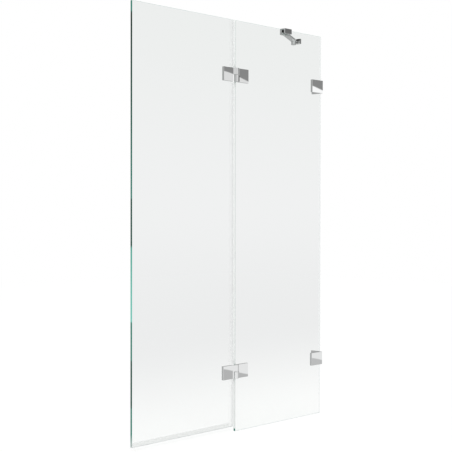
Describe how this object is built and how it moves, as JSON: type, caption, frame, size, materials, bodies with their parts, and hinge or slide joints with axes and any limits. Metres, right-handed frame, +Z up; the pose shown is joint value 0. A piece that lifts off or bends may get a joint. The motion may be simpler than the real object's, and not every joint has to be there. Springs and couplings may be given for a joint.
{
  "type": "shower screen",
  "caption": "Frameless bath and shower screen: a glass door hinged on a fixed glass pane with wall brackets, a swivelling top brace and clip-on seals.",
  "frame": {"origin": "where the wall plane meets the sill, on the middle plane of the fixed glass, at the foot of the wall seal", "axes": "+X into the wall (the screen reaches towards -X), +Y to the braced side behind the glass, +Z up"},
  "size_m": [1, 0.143, 1.5055],
  "materials": {
    "clear_glass": "clear toughened glass with ground edges",
    "bright_chrome": "mirror polished chrome plate",
    "plain_steel": "ground stainless steel",
    "white_nylon": "moulded nylon",
    "clear_gasket": "soft translucent plastic",
    "dark_gasket": "soft black rubber",
    "clear_seal": "clear extruded plastic"
  },
  "bodies": {
    "fixed_screen": {"fixed_glass": "clear_glass", "wall_seal": "clear_seal", "upper_fixed_leaf": "bright_chrome", "lower_fixed_leaf": "bright_chrome", "upper_hinge_pin": "plain_steel", "lower_hinge_pin": "plain_steel", "upper_thrust_washer": "white_nylon", "lower_thrust_washer": "white_nylon", "upper_fixed_gasket": "clear_gasket", "lower_fixed_gasket": "clear_gasket", "fixed_leaf_sleeves": "white_nylon", "fixed_leaf_screws": "bright_chrome", "upper_wall_bracket": "bright_chrome", "lower_wall_bracket": "bright_chrome", "upper_bracket_gasket": "clear_gasket", "lower_bracket_gasket": "clear_gasket", "bracket_sleeves": "white_nylon", "bracket_screws": "bright_chrome", "brace_clamp": "bright_chrome", "clamp_liner": "dark_gasket", "clamp_set_screws": "plain_steel", "clamp_pivot_pin": "plain_steel"},
    "door": {"door_glass": "clear_glass", "door_edge_seal": "clear_seal", "door_drip_seal": "clear_seal", "upper_door_leaf": "bright_chrome", "lower_door_leaf": "bright_chrome", "upper_hinge_bush": "white_nylon", "lower_hinge_bush": "white_nylon", "upper_door_gasket": "clear_gasket", "lower_door_gasket": "clear_gasket", "door_leaf_sleeves": "white_nylon", "door_leaf_screws": "bright_chrome"},
    "brace_arm": {"brace_arm": "bright_chrome", "arm_bushes": "white_nylon"},
    "brace_foot": {"brace_foot": "bright_chrome", "foot_pivot_screw": "bright_chrome"}
  },
  "joints": [
    {"name": "door_swing", "type": "hinge", "parent": "fixed_screen", "child": "door", "pos_m": [-0.505, -0.014, 1.3], "axis": [0, 0, 1], "range_deg": [0, 180]},
    {"name": "arm_swivel", "type": "hinge", "parent": "fixed_screen", "child": "brace_arm", "pos_m": [-0.196, 0.022, 1.494], "axis": [0, 0, 1], "range_deg": [-20, 60]},
    {"name": "foot_swivel", "type": "hinge", "parent": "brace_arm", "child": "brace_foot", "pos_m": [-0.036, 0.109, 1.494], "axis": [0, 0, 1], "range_deg": [-60, 60]}
  ]
}
